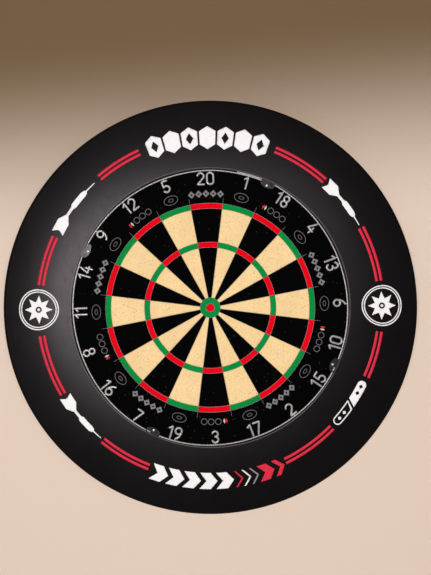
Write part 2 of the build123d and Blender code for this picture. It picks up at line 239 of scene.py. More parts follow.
def steel(name, color, roughness, grain=500.0, metallic=1.0):
    """Plated steel: faint drawn grain, cloudy sheen and small pits."""
    shader = Shader(name, color, roughness, metallic)
    clouds = shader.noise(90.0, 4.0, 0.6)
    pits = shader.noise(grain, 2.0, 0.7)
    shader.rough(shader.fade(clouds, 0.3, 0.7, roughness * 0.8, roughness * 1.35))
    shader.color(shader.mix(shader.fade(pits, 0.4, 0.75), color, scaled(color, 0.78)))
    shader.bump(pits, 0.15, 0.05 * MM)
    return shader.material


def plastic(name, color, roughness, grain=900.0):
    """Moulded plastic with spark-eroded texture and a little wear in its sheen."""
    shader = Shader(name, color, roughness)
    clouds = shader.noise(60.0, 3.0, 0.55)
    texture = shader.noise(grain, 2.0, 0.6)
    shader.rough(shader.fade(clouds, 0.3, 0.7, roughness * 0.85, min(1.0, roughness * 1.2)))
    shader.color(shader.mix(shader.fade(clouds, 0.35, 0.65), color, scaled(color, 1.3)))
    shader.bump(texture, 0.12, 0.06 * MM)
    return shader.material


LIP_HIGHLIGHT = (226.4 * MM, 227.3 * MM, 228.6 * MM)  # a paler line along the lip's rounded edge is a painted highlight


BEVEL_DARK = (335.8 * MM, 337.2 * MM)  # the bevel at the rim has a duller skin than the face


def surround_skin():
    """Satin black moulded foam: fine leathery grain, faint scuffs and dust, a soft sheen, and a painted
    highlight along the lip.
    """
    base = (0.0022, 0.0019, 0.0021)
    shader = Shader("surround_skin", base, 0.40, sockets=[("Specular Tint", (1.0, 0.90, 0.94, 1.0))])
    grain = shader.cells(900.0, feature="SMOOTH_F1")
    pores = shader.noise(2600.0, 2.0, 0.6)
    clouds = shader.noise(11.0, 3.0, 0.55)
    scuffs = shader.noise(160.0, 4.0, 0.7, shader.stretch(1.0, 1.0, 0.35))
    dust = shader.fade(shader.noise(1500.0, 2.0, 0.8), 0.70, 0.78, 0.0, 0.06)
    tone = shader.mix(shader.fade(clouds, 0.3, 0.7), base, scaled(base, 1.25))
    split = shader.node("ShaderNodeSeparateXYZ")
    shader.feed(split.inputs[0], shader.coords)
    squares = [shader.calc("MULTIPLY", axis, axis) for axis in (split.outputs[0], split.outputs[2])]
    radius = shader.calc("SQRT", shader.calc("ADD", *squares))
    # Painted highlight: across these radii the base colour turns paler along the lip's rounded edge.
    inner = shader.fade(radius, LIP_HIGHLIGHT[0], LIP_HIGHLIGHT[1])
    outer = shader.fade(radius, LIP_HIGHLIGHT[1], LIP_HIGHLIGHT[2], 1.0, 0.0)
    lip_highlight = shader.calc("MULTIPLY", shader.calc("MULTIPLY", inner, outer), 0.8)
    tone = shader.mix(lip_highlight, tone, (0.11, 0.098, 0.104))
    shader.color(shader.mix(dust, tone, (0.25, 0.24, 0.23)))
    gloss = shader.fade(radius, BEVEL_DARK[0], BEVEL_DARK[1], 0.5, 0.10)
    shader.feed(shader.surface.inputs["Specular IOR Level"], gloss)
    sheen = shader.fade(clouds, 0.25, 0.75, 0.35, 0.39)
    shader.rough(shader.calc("ADD", sheen, shader.fade(scuffs, 0.5, 0.8, 0.0, 0.07)))
    height = shader.calc("ADD", grain["Distance"], shader.calc("MULTIPLY", pores, 0.5))
    shader.bump(height, 0.10, 0.10 * MM)
    return shader.material


def ink(name, color, roughness=0.5, wear=0.25):
    """Screen print: slightly uneven cover over the grain below it."""
    shader = Shader(name, color, roughness, sockets=[("Specular IOR Level", 0.35)])
    cover = shader.noise(350.0, 3.0, 0.65)
    clouds = shader.noise(30.0, 2.0, 0.5)
    tone = shader.mix(shader.fade(cover, 0.45, 0.8, 0.0, wear), color, scaled(color, 0.55))
    shader.color(shader.mix(shader.fade(clouds, 0.3, 0.7, 0.0, 0.3), tone, scaled(color, 0.9)))
    shader.bump(cover, 0.1, 0.05 * MM)
    return shader.material


def particle_board():
    """Pressed wood chips, sanded, in mixed browns."""
    base = (0.42, 0.29, 0.17)
    shader = Shader("particle_board", base, 0.85)
    chips = shader.cells(320.0, shader.stretch(1.0, 1.0, 0.6))
    pick = shader.node("ShaderNodeSeparateColor")
    shader.feed(pick.inputs[0], chips["Color"])
    tone = shader.mix(pick.outputs[0], scaled(base, 0.75), scaled(base, 1.3))
    shader.color(shader.mix(shader.fade(shader.noise(1400.0, 3.0), 0.4, 0.7), tone, scaled(base, 0.6)))
    shader.bump(chips["Distance"], 0.25, 0.15 * MM)
    return shader.material


RED = (0.88, 0.002, 0.012)
GREEN = (0.003, 0.29, 0.056)
NATURAL = (1.0, 0.715, 0.365)
BLACK = (0.0016, 0.0014, 0.0015)

mats = {
    "sisal_natural": sisal("dyed_natural", NATURAL, (0.52, 0.23, 0.08), 0.13),
    "sisal_black": sisal("dyed_black", BLACK, (0.035, 0.032, 0.028), 0.06),
    "sisal_red": sisal("dyed_red", RED, (0.25, 0.002, 0.005), 0.06),
    "sisal_green": sisal("dyed_green", GREEN, (0.001, 0.07, 0.02), 0.06),
    "sisal": sisal("raw_sisal", (0.55, 0.38, 0.20), (0.25, 0.13, 0.06), 0.15),
    "blade_steel": steel("blade_steel", (0.50, 0.49, 0.48), 0.45, metallic=0.45),
    "ring_wire": steel("ring_wire", (0.66, 0.63, 0.63), 0.32, metallic=0.55),
    "zinc_steel": steel("zinc_steel", (0.86, 0.85, 0.84), 0.28, metallic=0.5),
    "bracket_steel": steel("bracket_steel", (0.46, 0.47, 0.48), 0.38, 220.0, 0.55),
    "band_steel": steel("band_steel", (0.02, 0.02, 0.02), 0.45, 300.0, 0.3),
    "black_nylon": plastic("black_nylon", (0.018, 0.018, 0.019), 0.5),
    "red_nylon": plastic("red_nylon", (0.42, 0.015, 0.015), 0.42),
    "clip_plastic": plastic("clip_plastic", (0.016, 0.015, 0.0155), 0.34, 1500.0),
    "particle_board": particle_board(),
    "surround_foam": surround_skin(),
}
white_ink = ink("white_ink", (0.93, 0.90, 0.91))
red_ink = ink("red_ink", (0.72, 0.022, 0.055))
grey_ink = ink("grey_ink", (0.30, 0.29, 0.30))
dim_ink = ink("dim_ink", (0.17, 0.16, 0.17), wear=0.5)
bold_ink = ink("bold_ink", (0.22, 0.21, 0.22), wear=0.35)
faint_ink = ink("faint_ink", (0.19, 0.18, 0.19), wear=0.5)
pale_ink = ink("pale_ink", (0.7, 0.62, 0.5))

# Every CAD node takes its finish from its own slot.
slot_of = {row["node"]: row["material_slot"] for row in frame["record"]["subparts"]}
for node_name, cad_object in frame["nodes"].items():
    cad_object.data.materials.clear()
    cad_object.data.materials.append(mats[slot_of[node_name]])


# Mesh helpers -------------------------------------------------------------------------------------


def mesh_object(name, mesh_data, material, body):
    """Turn a bmesh into a smooth-shaded object that rides on a body."""
    mesh = bpy.data.meshes.new(name)
    bmesh.ops.recalc_face_normals(mesh_data, faces=mesh_data.faces)
    mesh_data.to_mesh(mesh)
    mesh_data.free()
    mesh.materials.append(material)
    piece = bpy.data.objects.new(name, mesh)
    bpy.context.scene.collection.objects.link(piece)
    for polygon in mesh.polygons:
        polygon.use_smooth = True
    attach(piece, body)
    return piece


def curve_points(start, control, end, count=16):
    """A quadratic curve drawn toward its control point."""
    points = []
    for index in range(count + 1):
        t = index / count
        weights = ((1 - t) ** 2, 2 * t * (1 - t), t**2)
        points.append(
            tuple(weights[0] * s + weights[1] * c + weights[2] * e for s, c, e in zip(start, control, end))
        )
    return points


def lathe(mesh_data, outline, steps, centre=(0.0, 0.0)):
    """Revolve an open or closed outline of (radius, y) points about an axis along Y."""
    rings = []
    for radius, y in outline:
        if radius < 1e-7:
            rings.append([mesh_data.verts.new((centre[0], y, centre[1]))])
            continue
        ring = []
        for index in range(steps):
            angle = math.tau * index / steps
            ring.append(
                mesh_data.verts.new(
                    (centre[0] + radius * math.sin(angle), y, centre[1] + radius * math.cos(angle))
                )
            )
        rings.append(ring)
    for first, second in zip(rings, rings[1:]):
        for index in range(steps):
            following = (index + 1) % steps
            corners = [first[index % len(first)], first[following % len(first)]]
            corners += [second[following % len(second)], second[index % len(second)]]
            corners = list(dict.fromkeys(corners))
            if len(corners) > 2:
                mesh_data.faces.new(corners)


def tube(mesh_data, points, radius, closed=False, sides=14):
    """Round wire along points in a plane of constant y, with round ends unless it is closed."""
    count = len(points)
    rings = []

    def ring_at(point, along, scale):
        side = Vector((along.z, 0.0, -along.x))
        ring = []
        for step in range(sides):
            turn = math.tau * step / sides
            offset = side * math.cos(turn) + Vector((0.0, 1.0, 0.0)) * math.sin(turn)
            ring.append(mesh_data.verts.new(point + offset * radius * scale))
        return ring

    for index, point in enumerate(points):
        before = points[(index - 1) % count] if closed else points[max(index - 1, 0)]
        after = points[(index + 1) % count] if closed else points[min(index + 1, count - 1)]
        along = (after - before).normalized()
        if not closed and index == 0:
            for step in range(4):
                lift = math.radians(90 - 22.5 * step)
                cap_point = point - along * radius * math.sin(lift)
                rings.append(ring_at(cap_point, along, max(math.cos(lift), 0.03)))
        rings.append(ring_at(point, along, 1.0))
        if not closed and index == count - 1:
            for step in range(1, 5):
                lift = math.radians(22.5 * step)
                cap_point = point + along * radius * math.sin(lift)
                rings.append(ring_at(cap_point, along, max(math.cos(lift), 0.03)))
    pairs = list(zip(rings, rings[1:]))
    if closed:
        pairs.append((rings[-1], rings[0]))
    for first, second in pairs:
        for step in range(sides):
            following = (step + 1) % sides
            mesh_data.faces.new((first[step], first[following], second[following], second[step]))
    if not closed:
        mesh_data.faces.new(rings[0])
        mesh_data.faces.new(list(reversed(rings[-1])))


def swollen(shape, amount):
    """Move upright walls outward by an amount, keeping their corners square."""
    shifts = []
    for vertex in shape.verts:
        outward = []
        for face in vertex.link_faces:
            upright = abs(face.normal.y) < 0.3
            if upright and all(face.normal.dot(other) < 0.9 for other in outward):
                outward.append(face.normal.copy())
        shifts.append((vertex, sum(outward, Vector()) * amount))
    for vertex, shift in shifts:
        vertex.co += shift


def softened(node, name, width, segments_count=2, limit=35, swell=0.0):
    """A copy of a CAD node, edges rounded and upright walls swollen if asked, which stands for it."""
    source = frame["nodes"][node]
    piece = source.copy()
    piece.data = source.data.copy()
    piece.name = name
    for key in list(piece.keys()):
        del piece[key]
    piece.parent = None
    bpy.context.scene.collection.objects.link(piece)
    shape = bmesh.new()
    shape.from_mesh(piece.data)
    bmesh.ops.remove_doubles(shape, verts=shape.verts, dist=0.002 * MM)
    bmesh.ops.dissolve_limit(
        shape, angle_limit=math.radians(1.0), verts=shape.verts, edges=shape.edges, delimit={"NORMAL"}
    )
    if swell:
        shape.normal_update()
        swollen(shape, swell)
    shape.to_mesh(piece.data)
    shape.free()
    bevel = piece.modifiers.new("edges", "BEVEL")
    bevel.width = width
    bevel.segments = segments_count
    bevel.limit_method = "ANGLE"
    bevel.angle_limit = math.radians(limit)
    flats = piece.modifiers.new("flats", "WEIGHTED_NORMAL")  # wide flat faces keep flat shading
    flats.weight = 100
    for polygon in piece.data.polygons:
        polygon.use_smooth = True
    body = next(b for b, members in frame["record"]["behaviour"]["bodies"].items() if node in members)
    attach(piece, body)
    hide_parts(node)
    return piece


# Blades: thin steel strips, sharpened where they stand out of the sisal ---------------------------

BLADE_TOP = 0.22 * MM
BLADE_FACE = 0.38 * MM
blade_low, blade_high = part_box("radial_blades")
blade_profile = [
    (-BLADE / 2, blade_high.y),
    (-BLADE / 2, face_y + 0.6 * MM),
    (-BLADE_FACE / 2, face_y),
    (-BLADE_TOP / 2, blade_low.y + 0.08 * MM),
    (0.0, blade_low.y),
    (BLADE_TOP / 2, blade_low.y + 0.08 * MM),
    (BLADE_FACE / 2, face_y),
    (BLADE / 2, face_y + 0.6 * MM),
    (BLADE / 2, blade_high.y),
]

for strip, outer in zip(
    ("double_outer", "double_inner", "treble_outer", "treble_inner", "outer_bull", "inner_bull"), RINGS
):
    shape = bmesh.new()
    middle = outer * MM - BLADE / 2
    outline = [(middle + offset, y) for offset, y in blade_profile]
    lathe(shape, outline + outline[:1], 360)
    bmesh.ops.remove_doubles(shape, verts=shape.verts, dist=0.001 * MM)
    hoop = mesh_object(f"{strip}_blade", shape, mats["blade_steel"], "board")
    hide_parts(f"{strip}_strip")

shape = bmesh.new()
for index in range(len(number_order)):
    angle = math.radians((index + 0.5) * segment)
    along = Vector((math.sin(angle), 0.0, math.cos(angle)))
    across = Vector((math.cos(angle), 0.0, -math.sin(angle)))
    stations = []
    for distance, drop in ((OUTER_BULL, 0.0), (TICK_END - 1.2 * MM, 0.0), (TICK_END, 0.5 * MM)):
        ring = []
        for offset, y in blade_profile:
            lowered = max(y, blade_low.y + drop)
            ring.append(shape.verts.new(along * distance + across * offset + Vector((0.0, lowered, 0.0))))
        stations.append(ring)
    for first, second in zip(stations, stations[1:]):
        for side in range(len(first)):
            following = (side + 1) % len(first)
            shape.faces.new((first[side], first[following], second[following], second[side]))
    shape.faces.new(stations[0])
    shape.faces.new(list(reversed(stations[-1])))
blades = mesh_object("radial_blade_set", shape, mats["blade_steel"], "board")
for polygon in blades.data.polygons:
    polygon.use_smooth = False
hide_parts("radial_blades")

# Beds: dyed sisal that swells against the blades and rolls over at their edges --------------------

for dye in ("black", "natural", "red", "green"):
    softened(f"beds_{dye}", f"{dye}_beds", 0.18 * MM, 2, swell=0.2 * MM)

# Surround: a lathed moulding with a rounded lip, a shallow crown, a crisp ridge and a bevel -------

lip_radius = 1.6 * MM
edge_radius = 9.0 * MM
lip = (surround_bore + lip_radius, -48.6 * MM)
crown = (262.0 * MM, -49.4 * MM)
rim = (surround_radius - edge_radius, -43.0 * MM)
face_end = 336.0 * MM  # the face stops at a crisp ridge, and a bevel falls away from it to the side


def surround_y(radius):
    """Depth of the surround's front at a radius: a parabola through the lip, crown and rim."""
    total = 0.0
    points = (lip, crown, rim)
    for here in points:
        weight = here[1]
        for other in points:
            if other is not here:
                weight *= (radius - other[0]) / (here[0] - other[0])
        total += weight
    return total


def surround_outline():
    outline = [(surround_bore + 1.5 * MM, surround_back), (surround_bore, surround_back - 1.5 * MM)]
    for step in range(9):
        turn = math.radians(90 * step / 8)
        outline.append(
            (lip[0] - lip_radius * math.cos(turn), lip[1] + lip_radius - lip_radius * math.sin(turn))
        )
    count = 60
    for step in range(1, count + 1):
        radius = lip[0] + (face_end - lip[0]) * step / count
        outline.append((radius, surround_y(radius)))
    ridge = (face_end + 1.0 * MM, surround_y(face_end + 1.0 * MM))
    bevel_start = (face_end + 2.0 * MM, ridge[1] + 1.2 * MM)
    bevel_end = (surround_radius - 1.3 * MM, rim[1] + 5.6 * MM)
    side = (surround_radius, rim[1] + edge_radius + 0.6 * MM)
    outline += curve_points(outline[-1], ridge, bevel_start, 6)[1:]
    outline += curve_points(bevel_end, (surround_radius, bevel_end[1] + 1.6 * MM), side, 6)
    outline += [(surround_radius, surround_back - 2.0 * MM), (surround_radius - 2.0 * MM, surround_back)]
    outline.append(outline[0])
    return outline


shape = bmesh.new()
lathe(shape, surround_outline(), 480)
bmesh.ops.remove_doubles(shape, verts=shape.verts, dist=0.001 * MM)
surround = mesh_object("surround_moulding", shape, mats["surround_foam"], "surround")
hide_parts("surround")

# Prints -------------------------------------------------------------------------------------------

SURROUND_INK_FRONT = 0.16 * MM  # how far the ink's front stands ahead of the surface under it
SURROUND_INK_HEIGHT = 0.1 * MM
FIELD_INK_FRONT = 0.09 * MM
FIELD_INK_HEIGHT = 0.05 * MM
ACCENT_INK_HEIGHT = 0.06 * MM


def print_piece(name, shapes, material, body, slot, place, height, grid=4.0):
    """Thin closed ink layer: flat outlines in mm, cut into strips and carried to their place."""
    layer = bmesh.new()
    for outline, *holes in shapes:
        flat = bmesh.new()
        edges = []
        for loop in (outline, *holes):
            corners = [flat.verts.new((x, y, 0.0)) for x, y in loop]
            edges += [flat.edges.new(pair) for pair in zip(corners, corners[1:] + corners[:1])]
        bmesh.ops.triangle_fill(flat, edges=edges, use_beauty=True)
        for axis in (0, 1):
            normal = Vector((1, 0, 0)) if axis == 0 else Vector((0, 1, 0))
            spread = [vertex.co[axis] for vertex in flat.verts]
            cut = math.ceil(min(spread) / grid) * grid
            while cut < max(spread):
                geometry = flat.verts[:] + flat.edges[:] + flat.faces[:]
                bmesh.ops.bisect_plane(flat, geom=geometry, plane_co=normal * cut, plane_no=normal)
                cut += grid
        mesh = bpy.data.meshes.new("flat")
        flat.to_mesh(mesh)
        flat.free()
        layer.from_mesh(mesh)
        bpy.data.meshes.remove(mesh)
    for vertex in layer.verts:
        vertex.co = place(vertex.co.x, vertex.co.y)
    for face in layer.faces:
        face.normal_update()
        if face.normal.y > 0:
            face.normal_flip()
    top = bmesh.ops.extrude_face_region(layer, geom=layer.faces[:])
    for item in top["geom"]:
        if isinstance(item, bmesh.types.BMVert):
            item.co.y += height
    return mesh_object(name, layer, material, body)


def on_surround(middle, radius):
    """Places mm along and across an arc on the surround's front, reading clockwise from outside."""

    def place(along, out):
        distance = radius + out * MM
        x, z = clock(distance, middle + print_turn + math.degrees(along * MM / radius))
        return Vector((x, surround_y(distance) - SURROUND_INK_FRONT, z))

    return place


def on_field(middle, radius):
    """Places mm along and across an arc on the black number field."""

    def place(along, out):
        x, z = clock(radius + out * MM, middle + math.degrees(along * MM / radius))
        return Vector((x, face_y - FIELD_INK_FRONT, z))

    return place


def circle(radius, centre=(0.0, 0.0), steps=72):
    return [
        (
            centre[0] + radius * math.cos(math.tau * step / steps),
            centre[1] + radius * math.sin(math.tau * step / steps),
        )
        for step in range(steps)
    ]


def fine(outline, step=2.0):
    """Add points along an outline's long edges, so that it can follow a curved surface."""
    points = []
    for start, end in zip(outline, outline[1:] + outline[:1]):
        parts = max(1, math.ceil(math.dist(start, end) / step))
        for part in range(parts):
            share = part / parts
            points.append((start[0] + (end[0] - start[0]) * share, start[1] + (end[1] - start[1]) * share))
    return points


def diamond(centre, width, height):
    return fine(
        [
            (centre - width / 2, 0.0),
            (centre, height / 2),
            (centre + width / 2, 0.0),
            (centre, -height / 2),
        ]
    )


def shield(centre, width, height, point):
    """An upright six-sided lozenge with a point at the top and the bottom."""
    side = width / 2
    shoulder = height / 2 - point
    return fine(
        [
            (centre - side, shoulder),
            (centre, height / 2),
            (centre + side, shoulder),
            (centre + side, -shoulder),
            (centre, -height / 2),
            (centre - side, -shoulder),
        ]
    )


def chevron(centre, width, height, depth):
    left = centre - width / 2
    right = centre + width / 2
    return fine(
        [
            (left, height / 2),
            (right - depth, height / 2),
            (right, 0.0),
            (right - depth, -height / 2),
            (left, -height / 2),
            (left + depth, 0.0),
        ]
    )


def bar(left, right, half_height):
    return fine([(left, -half_height), (right, -half_height), (right, half_height), (left, half_height)])


def half_pill(length, height, end, steps=16):
    """The left part of a stadium, cut off by a slanting line near its middle."""
    radius = height / 2
    slant = 4.0
    points = [(end - slant, -radius), (end + slant, radius)]
    for step in range(steps + 1):
        turn = math.radians(90 + 180 * step / steps)
        points.append((radius - length / 2 + radius * math.cos(turn), radius * math.sin(turn)))
    return fine(points)


def oval(width, height, steps=48):
    return [
        (
            width / 2 * math.cos(math.tau * step / steps),
            height / 2 * math.sin(math.tau * step / steps),
        )
        for step in range(steps)
    ]


def star(points, outer, inner):
    outline = []
    for step in range(2 * points):
        radius = outer if step % 2 == 0 else inner
        turn = math.pi / 2 + math.pi * step / points
        outline.append((radius * math.cos(turn), radius * math.sin(turn)))
    return fine(outline)


def dart(length, height):
    """A dart lying along the arc: point, barrel, shaft and notched flight."""
    nose = length / 2
    tail = -length / 2
    half = height / 2
    upper = [
        (nose, 0.6),
        (nose - 0.18 * length, 1.1),
        (nose - 0.20 * length, 3.4),
        (nose - 0.25 * length, 4.6),
        (nose - 0.48 * length, 4.6),
        (nose - 0.53 * length, 2.4),
        (tail + 0.34 * length, 2.2),
        (tail + 0.22 * length, half),
        (tail + 0.02 * length, half),
        (tail + 0.07 * length, 1.6),
        (tail + 0.07 * length, 0.0),
    ]
    lower = [(x, -y) for x, y in reversed(upper[:-1])]
    return fine(upper + lower)


def flipped(outline):
    """The same outline turned half round, so that it reads the other way along the arc."""
    return [(-x, -y) for x, y in outline]


surround_print = ("surround", "surround_foam")
mark_radius = 276.5 * MM
red_arc_half_height = 2.2
red_arcs = [(23, 42.7), (62.7, 81.7), (98.7, 114.7), (135.2, 154.7)]
red_arcs += [(201.7, 219.7), (240.2, 261.2), (278.2, 295.2), (320.2, 336.2)]
for arc_index, (start, end) in enumerate(red_arcs, start=1):
    middle = (start + end) / 2
    for name, arc_radius in (("inner", 273.8 * MM), ("outer", 281.2 * MM)):
        half_length = math.radians(end - start) / 2 * arc_radius / MM
        strip = bar(-half_length, half_length, red_arc_half_height)
        piece_name = f"red_arc_{arc_index}_{name}"
        place = on_surround(middle, arc_radius)
        print_piece(piece_name, [[strip]], red_ink, *surround_print, place, SURROUND_INK_HEIGHT)

top_shapes = []
for index in range(-3, 4):
    middle = index * 29.0
    if index % 2:
        top_shapes.append([shield(middle, 26.0, 38.0, 8.0), diamond(middle, 12.0, 19.0)])
    else:
        top_shapes.append([shield(middle, 26.0, 38.0, 8.0)])
top = on_surround(-0.3, mark_radius)
print_piece("top_shields", top_shapes, white_ink, *surround_print, top, SURROUND_INK_HEIGHT)

bottom = on_surround(178.2, 282.0 * MM)
chevrons = {
    "white": [(-96.0, 29.0), (-69.0, 29.0), (-42.0, 29.0), (-15.0, 29.0), (12.0, 29.0), (48.0, 14.0)],
    "grey": [(61.0, 14.0)],
    "red": [(35.0, 14.0), (81.0, 27.0), (103.0, 19.0)],
}
for tone, bottom_ink in (("white", white_ink), ("grey", grey_ink), ("red", red_ink)):
    arrows = [[flipped(chevron(centre, width, 27.0, 11.0))] for centre, width in chevrons[tone]]
    piece_name = f"bottom_chevrons_{tone}"
    print_piece(piece_name, arrows, bottom_ink, *surround_print, bottom, SURROUND_INK_HEIGHT)

for name, middle, length, turned in (
    ("upper_left", 307.0, 104.0, False),
    ("upper_right", 52.4, 90.0, False),
    ("lower_left", 230.2, 92.0, True),
):
    outline = dart(length, 20.0)
    if turned:
        outline = flipped(outline)
    place = on_surround(middle, mark_radius)
    print_piece(f"dart_{name}", [[outline]], white_ink, *surround_print, place, SURROUND_INK_HEIGHT)

# Half of the pill is solid with dark diamonds and half is an outline with white ones.
solid_half = half_pill(84.0, 15.0, -2.0)
open_half = flipped(solid_half)
open_inside = flipped(half_pill(80.2, 11.2, -4.8))
pill = [[solid_half] + [diamond(x, 7.0, 7.0) for x in (-32.0, -20.0)], [open_half, open_inside]]
pill += [[diamond(x, 6.4, 6.4)] for x in (18.0, 30.0)]
lower_right = on_surround(125.0, mark_radius)
print_piece("pill_lower_right", pill, white_ink, *surround_print, lower_right, SURROUND_INK_HEIGHT)

roundel_radius = 279.0 * MM
for name, middle in (("right", 90.0), ("left", 270.0)):
    roundel = [
        [circle(33.2), circle(31.2)],
        [circle(29.6), circle(27.8)],
        [star(8, 23.0, 12.5), circle(5.0, steps=36)],
        [circle(2.4, steps=24)],
    ]
    place = on_surround(middle, roundel_radius)
    print_piece(f"roundel_{name}", roundel, white_ink, *surround_print, place, SURROUND_INK_HEIGHT)

field_print = ("board", "sisal_black")
wide_marks = range(0, 20, 4)
dotted_marks = range(2, 20, 4)
field_radius = 185.0 * MM
for index in range(len(number_order)):
    middle = index * segment
    place = on_field(middle, field_radius)
    name = f"field_mark_{number_order[index]}"
    if index in wide_marks:
        centres = [-23.6 + 11.8 * step for step in range(5)]
        row = [[diamond(x, 11.4, 12.0), diamond(x, 3.4, 3.6)] for x in centres]
        print_piece(name, row, bold_ink, *field_print, place, FIELD_INK_HEIGHT)
    elif index in dotted_marks:
        rings = [[circle(5.2, (x, 0.0), 40), circle(4.2, (x, 0.0), 40)] for x in (-6.0, 5.5, 17.0)]
        print_piece(name, rings, dim_ink, *field_print, place, FIELD_INK_HEIGHT)
        for accent, accent_ink, x in (("red", red_ink, -19.5), ("pale", pale_ink, -15.7)):
            shape_points = diamond(x, 3.6, 8.6)
            accent_name = f"{name}_{accent}"
            print_piece(accent_name, [[shape_points]], accent_ink, *field_print, place, ACCENT_INK_HEIGHT)
    else:
        ring = [[oval(24.0, 15.0), oval(22.4, 13.4)], [oval(9.0, 5.0), oval(7.6, 3.6)]]
        print_piece(name, ring, faint_ink, *field_print, place, FIELD_INK_HEIGHT)

# Number ring: round wire, with bent-wire numbers welded to it -------------------------------------

digit_half_width = 5.15
digit_half_height = 9.15
one_half_width = 2.6
digit_gap = 5.1
stroke_radius = 1.65 * MM
top_touch = {1: 2.0, 4: 0.8, 6: 1.8}
foot_touch = {1: 2.0, 7: -1.9, 9: -1.8}


def arc_points(centre, radius, start, sweep, step=5.0):
    count = max(2, math.ceil(abs(sweep) / step))
    points = []
    for index in range(count + 1):
        turn = math.radians(start + sweep * index / count)
        points.append((centre[0] + radius * math.cos(turn), centre[1] + radius * math.sin(turn)))
    return points


def digit_wires(digit):
    """Each wire of a digit as points in mm about the middle of its box, and whether it is a loop."""
    a = digit_half_width
    b = digit_half_height
    stem = one_half_width - 0.6
    upper = 4.4
    lower = b - upper
    corner = 4.6
    if digit == 0:
        loop = []
        for centre, start in (
            ((a - corner, b - corner), 0),
            ((corner - a, b - corner), 90),
            ((corner - a, corner - b), 180),
            ((a - corner, corner - b), 270),
        ):
            loop += arc_points(centre, corner, start, 90)
        return [(loop, True)]
    if digit == 1:
        return [([(-one_half_width, b - 3.6), (stem, b), (stem, -b)], False)]
    if digit == 2:
        return [(arc_points((0, b - a), a, 165, -200) + [(-a, -b), (a, -b)], False)]
    if digit == 3:
        top = arc_points((0, b - 4.5), 4.5, 160, -250)
        low = arc_points((0, 4.9 - b), 4.9, 90, -250)
        return [(top, False), (low, False)]
    if digit == 4:
        return [([(0.15 * a, b), (-a, -3.7), (a, -3.7)], False), ([(0.45 * a, 1.4), (0.45 * a, -b)], False)]
    if digit == 5:
        bowl = arc_points((0, a - b), a, 140, -290)
        return [([(0.8 * a, b), (-0.77 * a, b)] + bowl, False)]
    if digit == 6:
        tail = curve_points((1.8, b), (-4.6, 5.9), (-a, a - b))
        return [(arc_points((0, a - b), a, 180, 360)[:-1], True), (tail, False)]
    if digit == 7:
        return [([(-a, b), (a, b), (-0.35 * a, -b)], False)]
    if digit == 8:
        return [
            (arc_points((0, b - upper), upper, -90, 360)[:-1], True),
            (arc_points((0, lower - b), lower, 90, 360)[:-1], True),
        ]
    tail = curve_points((-1.8, -b), (4.6, -5.9), (a, b - a))
    return [(arc_points((0, b - a), a, 0, 360)[:-1], True), (tail, False)]


def even(points, closed, step=0.45):
    """Points at even spacing along a wire, with its sharp corners rounded as bent wire is."""
    loop = points + points[:1] if closed else points
    dense = []
    for start, end in zip(loop, loop[1:]):
        parts = max(1, round(math.dist(start, end) / step))
        for part in range(parts):
            share = part / parts
            dense.append((start[0] + (end[0] - start[0]) * share, start[1] + (end[1] - start[1]) * share))
    if not closed:
        dense.append(points[-1])
    for _ in range(5):
        smooth = list(dense)
        span = range(len(dense)) if closed else range(1, len(dense) - 1)
        for index in span:
            before = dense[index - 1]
            after = dense[(index + 1) % len(dense)]
            here = dense[index]
            smooth[index] = tuple((b + 2 * h + f) / 4 for b, h, f in zip(before, here, after))
        dense = smooth
    return dense


def hoop_radius(angle):
    """The clips pull the wire outward a little, so it bows in between them."""
    return ring_radius + (0.3 + 0.8 * math.cos(math.radians(4 * (angle - clip_angles[0])))) * MM


def number_piece(value, index):
    """One number of bent wire, its digits side by side, with a stub to the ring for each."""
    angle = index * segment
    outward = angle <= 90 or angle >= 270
    sign = 1 if outward else -1
    middle_radius = hoop_radius(angle) - 2.3 * MM - stroke_radius - digit_half_height * MM
    centre_x, centre_z = clock(middle_radius, angle)
    cosine = sign * math.cos(math.radians(angle))
    sine = sign * math.sin(math.radians(angle))

    def place(x, y):
        across, up = x * cosine + y * sine, y * cosine - x * sine
        return Vector((centre_x + across * MM, wire_y, centre_z + up * MM))

    digits = [int(character) for character in str(value)]
    halves = [one_half_width if digit == 1 else digit_half_width for digit in digits]
    x = -(2 * sum(halves) + digit_gap * (len(digits) - 1)) / 2
    shape = bmesh.new()
    for digit, half in zip(digits, halves):
        middle = x + half
        for points, closed in digit_wires(digit):
            path = [place(middle + px, py) for px, py in even(points, closed)]
            tube(shape, path, stroke_radius, closed)
        touch = middle + (top_touch if outward else foot_touch).get(digit, 0.0)
        reach = (math.sqrt(hoop_radius(angle) ** 2 - (touch * MM) ** 2) - middle_radius) / MM
        stub = [place(touch, sign * y) for y in (digit_half_height, (digit_half_height + reach) / 2, reach)]
        tube(shape, stub, 0.95 * MM)
        x += 2 * half + digit_gap
    piece = mesh_object(f"number_wire_{value}", shape, mats["ring_wire"], "number_ring")
    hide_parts(f"number_{value}")


for index, value in enumerate(number_order):
    number_piece(value, index)

# The wire's two ends lie side by side from the seam to just past the first clip.
seam = 13.5
overlap = 14.0
end_shift = 1.05  # mm each end is bent aside, so that the two clear each other
hoop = []
steps = 760
for step in range(steps + 1):
    travelled = (360 + overlap) * step / steps
    shift = end_shift * max(0.0, 1 - max(0.0, travelled - overlap) / 10)
    shift -= end_shift * min(1.0, max(0.0, travelled - 350) / 10)
    x, z = clock(hoop_radius(seam + travelled) + shift * MM, seam + travelled)
    hoop.append(Vector((x, wire_y, z)))
shape = bmesh.new()
tube(shape, hoop, wire_radius)
ring_wire = mesh_object("number_hoop", shape, mats["ring_wire"], "number_ring")
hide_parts("number_ring_wire")

# Ring clips and their pins ------------------------------------------------------------------------

for index in range(1, 5):
    softened(f"ring_clip_{index}", f"clip_{index}_button", 0.5 * MM, 3)

